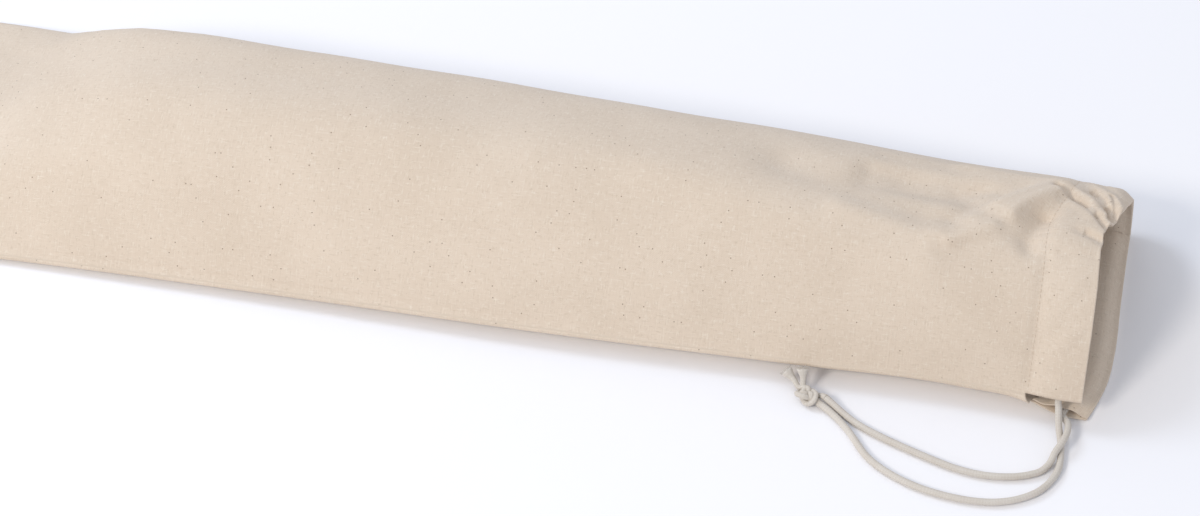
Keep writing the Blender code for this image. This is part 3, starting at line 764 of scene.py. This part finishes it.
class Cloth:
    """The bag's sheet as grids of points, whose rows go round it and whose columns run along it."""

    def __init__(self):
        self.rows = stepped(ROW_STEPS)
        self.around = stepped(COLUMN_STEPS)
        shares = self.around / GIRTH
        at, around = self.rows[:, None], self.around[None, :]
        reach = smooth(REACH_ROUND, REACH, self.around / MM) * MM
        grid = np.zeros((len(self.rows), len(self.around), 3))
        grid[:, :, 1:] = [section(row, shares) for row in self.rows]
        grid[:, :, 0] = at - LENGTH / 2 + reach * ramp(at, REACH_START, LENGTH)
        height = fold_height(FOLDS, at, around) + fold_height(CREASES, at, around)
        height += slack_height(at, around)
        grid += normals(grid) * height[:, :, None]
        grid[:, :, 2] = np.maximum(grid[:, :, 2], 0)
        self.base = grid - ORIGIN
        self.normal = normals(self.base)
        self.pleats = pleat_height(at, around)
        self.outer = self.base + self.normal * self.pleats[:, :, None]
        self.hem_row = int(np.argmin(abs(self.rows - (LENGTH - HEM))))

    def at_row(self, grid, at):
        """A grid's points along the line at one distance from the closed end."""
        left = int(np.searchsorted(self.rows, at, side="right") - 1)
        t = (at - self.rows[left]) / (self.rows[left + 1] - self.rows[left])
        return grid[left] * (1 - t) + grid[left + 1] * t

    def cord_line(self):
        """Middle of the cord inside the hem, one point for each column."""
        return self.at_row(self.base - self.normal * CORD_DEPTH, LENGTH - CORD_FROM_MOUTH)

    def inner_hem(self):
        """Rows of the hem's inner layer, from the mouth back to the stitches.

        It lies inside the outer layer by the stitches' depth, plus a bell round the cord.  A
        groove deeper than the room between the layers presses it inwards by what is left.
        """
        hem = slice(self.hem_row, -1)
        away = (self.rows[hem] - (LENGTH - CORD_FROM_MOUTH)) / TUNNEL_WIDTH
        depth = HEM_DEPTH + (TUNNEL_DEPTH - HEM_DEPTH) * np.exp(-away**4)
        room = depth[:, None] - 2 * CLOTH - LAYER_GAP
        depth = depth[:, None] + np.maximum(-self.pleats[hem] - np.maximum(room, 0), 0)
        return (self.base[hem] - self.normal[hem] * depth[:, :, None])[::-INNER_STRIDE]

    def mouth_turn(self, inner):
        """Rows of the half round fold that joins the outer layer to the inner one at the mouth."""
        outer = self.outer[-2]
        middle = (outer + inner[0]) / 2
        across = (outer - inner[0]) / 2
        ahead = self.outer[-1] - outer
        angles = [math.pi * k / TURN_STEPS for k in range(1, TURN_STEPS)]
        return np.array([middle + across * math.cos(a) + ahead * math.sin(a) for a in angles])

    def closed_turn(self, row):
        """Rows of the rounded closed end: heights shrink by cos a, and the end moves by sin a."""
        middle = (row[:, 2].min() + row[:, 2].max()) / 2
        rows = []
        for k in range(1, END_STEPS):
            a = math.pi / 2 * k / END_STEPS
            turned = row.copy()
            turned[:, 0] -= END_REACH * math.sin(a)
            turned[:, 2] = middle + (row[:, 2] - middle) * math.cos(a)
            rows.append(turned)
        return rows[::-1]

    def seam_turn(self, rows):
        """Columns of the half round edge from the underside to the top at the near seam."""
        under, over = rows[:, -1], rows[:, 0]
        middle, across = (under + over) / 2, (under - over) / 2
        radius = np.linalg.norm(across, axis=1)[:, None]
        angles = [math.pi * k / SEAM_STEPS for k in range(1, SEAM_STEPS)]
        outward = np.array([0, -1.0, 0])
        return [middle + across * math.cos(a) + outward * radius * math.sin(a) for a in angles]


def add_bag(cloth, finish):
    """The bag: its tube with the closed end, the turned near seam and the hem folded inside."""
    inner = cloth.inner_hem()
    closed = cloth.closed_turn(cloth.outer[0])
    sheet = np.concatenate([closed, cloth.outer[:-1], cloth.mouth_turn(inner), inner])
    count = sheet.shape[1]
    ids = np.arange(sheet.shape[0] * count).reshape(sheet.shape[0], count)
    along = run_of(sheet[:, count // 3])        # measured on a column that goes over the top
    uv = np.stack(np.broadcast_arrays(cloth.around[None, :], along[:, None]), axis=-1)
    uv = uv.reshape(-1, 2)

    sewn = len(closed) + cloth.hem_row + 1
    points, columns, uvs = [sheet.reshape(-1, 3)], [ids[:sewn, -1]], [uv]
    start = ids.size
    strips = cloth.seam_turn(sheet[:sewn])
    for k, strip in enumerate(strips):
        columns.append(np.arange(start, start + sewn))
        points.append(strip)
        uvs.append(np.stack([np.full(sewn, GIRTH + (k + 1) * SEAM_FACE), along[:sewn]], axis=1))
        start += sewn
    columns.append(ids[:sewn, 0])
    faces = grid_faces(ids).tolist() + grid_faces(np.array(columns).T).tolist()
    faces.append(ids[0].tolist() + [int(column[0]) for column in columns[1:-1]])

    piece = add_mesh("linen_bag", np.concatenate(points), faces, finish, np.concatenate(uvs))
    wall = piece.modifiers.new("cloth thickness", "SOLIDIFY")
    wall.thickness = CLOTH
    wall.offset = -1
    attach(piece, "root")
    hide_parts("bag")
    return piece


# ---------------------------------------------------------------- sewing
STITCH_PITCH = 0.0028
STITCH = 0.0021           # length of a stitch
THREAD = 0.00017          # radius of the thread
THREAD_END = 0.35         # share of it at a stitch's two ends
STITCH_RINGS, STITCH_SIDES = 7, 6
STITCH_RISE = 0.00012     # a stitch's middle above the cloth
STITCH_FROM_EDGE = 0.0007  # the sewing's line to the hem's raw edge inside


def add_stitches(cloth, finish):
    """One row of stitches round the hem.

    Each is a short tube that follows the cloth: its middle rises by a half sine, and its radius
    grows by one from the share at its ends, which lie half in the cloth.
    """
    at = LENGTH - HEM + STITCH_FROM_EDGE
    line = cloth.at_row(cloth.outer, at)
    over = cloth.at_row(cloth.normal, at)
    run = run_of(line)
    starts = np.arange(STITCH_PITCH, run[-1] - 2 * STITCH_PITCH, STITCH_PITCH)
    t = np.linspace(0, 1, STITCH_RINGS)
    place = starts[:, None] + STITCH * t[None, :]
    middle, up = (np.stack([np.interp(place, run, rows[:, k]) for k in range(3)], axis=-1)
                  for rows in (line, over))
    up = unit(up)
    ahead = unit(np.gradient(middle, axis=1))
    side = unit(np.cross(ahead, up))
    arch = np.sin(math.pi * t)
    middle = middle + up * (STITCH_RISE * arch)[None, :, None]
    angle = np.arange(STITCH_SIDES) * 2 * math.pi / STITCH_SIDES
    radius = THREAD * (THREAD_END + (1 - THREAD_END) * arch)
    ring = (side[:, :, None] * np.cos(angle)[None, None, :, None]
            + up[:, :, None] * np.sin(angle)[None, None, :, None])
    points, faces = closed_tubes(middle[:, :, None] + radius[None, :, None, None] * ring)
    piece = add_mesh("hem_stitches", points, faces, finish)
    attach(piece, "root")
    return piece


# ---------------------------------------------------------------- floor and light
FLOOR_BELOW = 0.0003      # the floor below the bag's underside
FLOOR_SIZE = 8.0
# Lights, all aimed at the origin: name, place, width, watts, colour
LIGHTS = (("key", (-1.05, -1.7, 1.8), 0.6, 28.5, (1.0, 0.942, 0.86)),
          ("left back fill", (-1.6, 0.6, 1.8), 0.8, 19, (0.74, 0.845, 1.0)))
SKY_COLOUR = (0.89, 0.925, 1.0, 1)
SKY_STRENGTH = 0.75


def add_floor():
    """A flat square far wider than the view."""
    half = FLOOR_SIZE / 2
    corners = [(-half, -half), (half, -half), (half, half), (-half, half)]
    points = [(x, y, -FLOOR_BELOW) for x, y in corners]
    floor = add_mesh("floor", points, [(0, 1, 2, 3)], floor_finish())


def add_lights():
    """A warm key from the left front, a cool fill from the left back, and a pale sky all round."""
    for name, place, width, watts, colour in LIGHTS:
        lamp = bpy.data.lights.new(name, "AREA")
        lamp.size = width
        lamp.energy = watts
        lamp.color = colour
        light = bpy.data.objects.new(name, lamp)
        bpy.context.collection.objects.link(light)
        aim(light, place, (0.0, 0.0, 0.0))
    world = bpy.data.worlds.new("studio")
    world.use_nodes = True
    sky = world.node_tree.nodes["Background"]
    sky.inputs["Color"].default_value = SKY_COLOUR
    sky.inputs["Strength"].default_value = SKY_STRENGTH
    bpy.context.scene.world = world
    bpy.context.scene.view_settings.view_transform = "Standard"


add_camera()
cloth = Cloth()
held = cloth.cord_line()
cord = cord_finish()
front = tail_line(held[0], held[1], ROUTE_FRONT)
back = tail_line(held[-1], held[-2], ROUTE_BACK)
front_tail = add_cord("front_tail", front, cord, "tail_front")
back_tail = add_cord("back_tail", back, cord, "tail_back")
knot = add_knot((front, back), cord)
add_cord("cord_in_tunnel", even_line(held, CORD_STEP), cord, "cord_in_hem")
add_bag(cloth, cloth_finish())
add_stitches(cloth, thread_finish())
add_floor()
add_lights()
